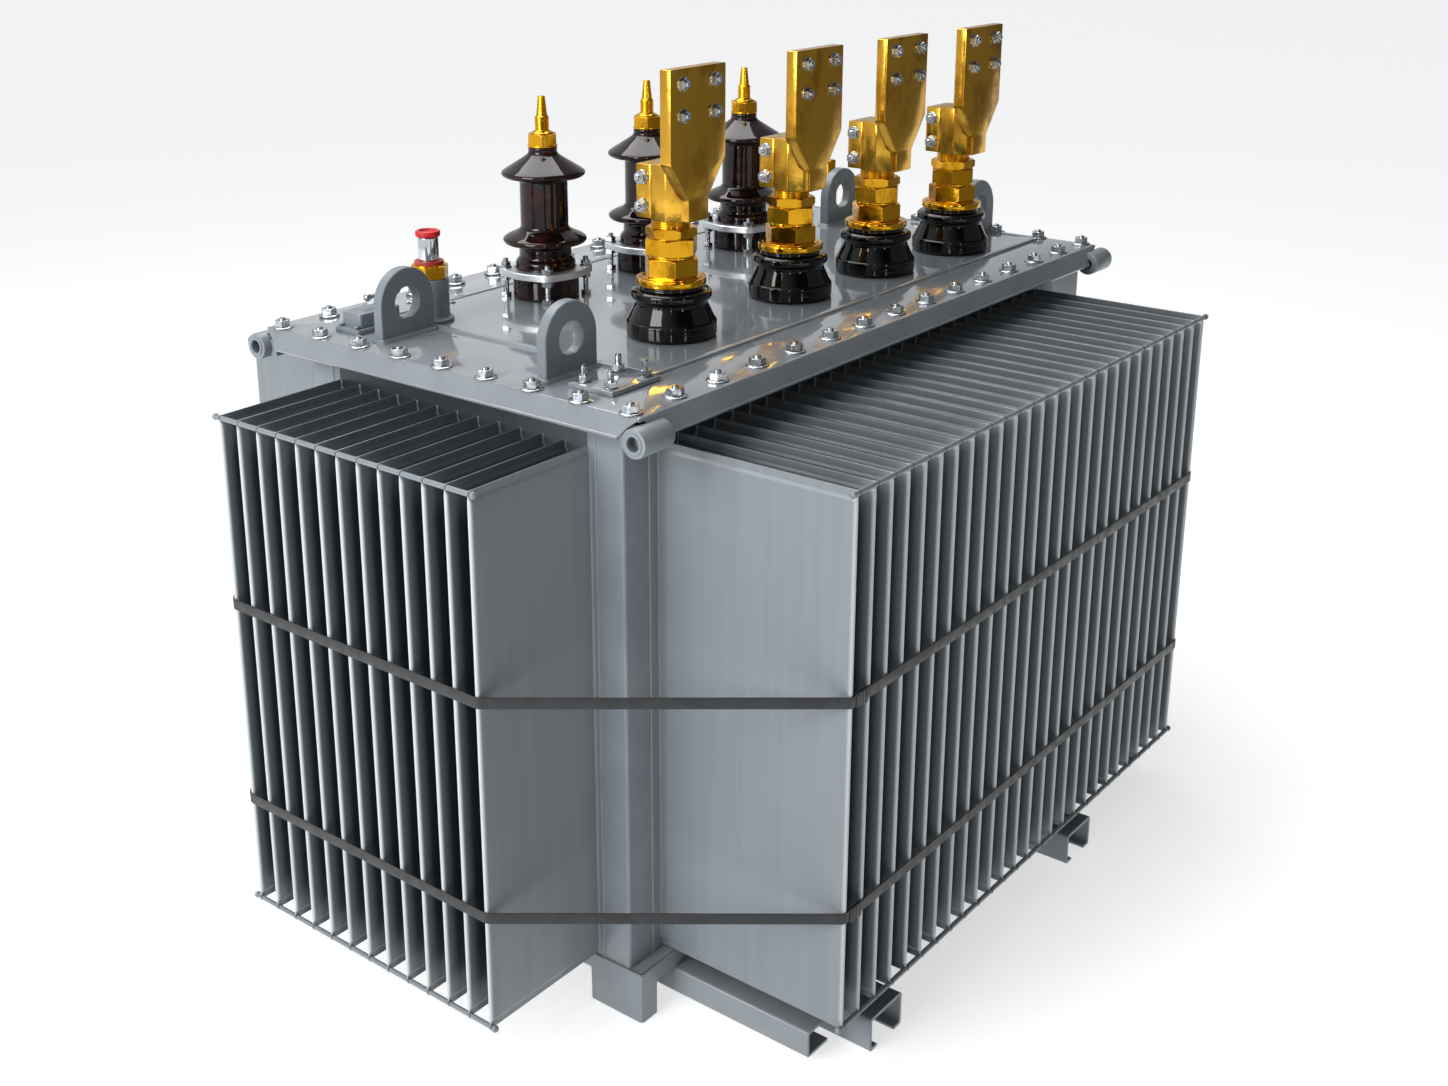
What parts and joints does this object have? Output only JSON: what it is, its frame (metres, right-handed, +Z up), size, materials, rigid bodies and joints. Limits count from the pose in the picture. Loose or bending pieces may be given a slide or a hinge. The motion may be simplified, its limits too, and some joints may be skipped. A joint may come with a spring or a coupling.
{
  "type": "distribution transformer",
  "caption": "Oil-filled distribution transformer with corrugated tank, flanged lid, porcelain high-voltage bushings, brass low-voltage flags, lifting lugs, relief valve and tap changer handle.",
  "frame": {"origin": "on the ground under the middle of the outline", "axes": "+X along the tank, +Y towards the high-voltage bushings, +Z up"},
  "size_m": [1.9216, 1.3502, 1.5303],
  "materials": {
    "tank_paint": "satin",
    "fin_paint": "satin",
    "lid_paint": "gloss",
    "gasket_rubber": "matte",
    "lv_glaze": "gloss",
    "brass": "polished",
    "hv_glaze": "gloss",
    "cast_aluminium": "satin",
    "chrome": "polished",
    "red_plastic": "gloss",
    "zinc_steel": "satin",
    "strap_plastic": "satin",
    "core_steel": "satin",
    "winding_copper": "satin",
    "winding_paper": "matte"
  },
  "bodies": {
    "transformer": {"tank_base": "tank_paint", "corner_post_front_left": "tank_paint", "corner_post_front_right": "tank_paint", "corner_post_rear_left": "tank_paint", "corner_post_rear_right": "tank_paint", "skid_channel_left": "tank_paint", "skid_channel_right": "tank_paint", "cross_rail_left": "tank_paint", "cross_rail_right": "tank_paint", "tank_flange_front": "tank_paint", "tank_flange_rear": "tank_paint", "core_frame": "tank_paint", "lifting_lug_front_left": "tank_paint", "lifting_lug_rear_left": "tank_paint", "lifting_lug_front_right": "tank_paint", "lifting_lug_rear_right": "tank_paint", "filler_pipe": "tank_paint", "blanking_plate": "tank_paint", "tap_changer_housing": "tank_paint", "tank_wall_front": "fin_paint", "tank_wall_rear": "fin_paint", "tank_wall_left": "fin_paint", "tank_wall_right": "fin_paint", "lid": "lid_paint", "lid_gasket": "gasket_rubber", "lv_insulator_1": "lv_glaze", "lv_insulator_2": "lv_glaze", "lv_insulator_3": "lv_glaze", "lv_insulator_4": "lv_glaze", "lv_stem_1": "brass", "lv_stem_2": "brass", "lv_stem_3": "brass", "lv_stem_4": "brass", "lv_flag_1": "brass", "lv_flag_2": "brass", "lv_flag_3": "brass", "lv_flag_4": "brass", "hv_terminal_1": "brass", "hv_terminal_2": "brass", "hv_terminal_3": "brass", "filler_union_nut": "brass", "thermometer_pocket": "brass", "hv_insulator_1": "hv_glaze", "hv_insulator_2": "hv_glaze", "hv_insulator_3": "hv_glaze", "hv_clamp_ring_1": "cast_aluminium", "hv_clamp_ring_2": "cast_aluminium", "hv_clamp_ring_3": "cast_aluminium", "relief_valve_tube": "chrome", "lower_strap": "strap_plastic", "upper_strap": "strap_plastic", "core": "core_steel", "lv_coil_1": "winding_copper", "lv_coil_2": "winding_copper", "lv_coil_3": "winding_copper", "hv_coil_1": "winding_paper", "hv_coil_2": "winding_paper", "hv_coil_3": "winding_paper"},
    "tap_handle": {"tap_changer_handle": "zinc_steel"},
    "relief_cap": {"relief_valve_cap": "red_plastic"}
  },
  "joints": [
    {"name": "tap_handle_turn", "type": "hinge", "parent": "transformer", "child": "tap_handle", "pos_m": [-0.605, 0.31775, 1.1293], "axis": [0, 0, 1], "range_deg": [-60, 60]},
    {"name": "relief_cap_lift", "type": "slide", "parent": "transformer", "child": "relief_cap", "axis": [0, 0, 1], "range_m": [0, 0.006], "stiffness_N_per_m": 1500, "springref_m": -0.004}
  ]
}
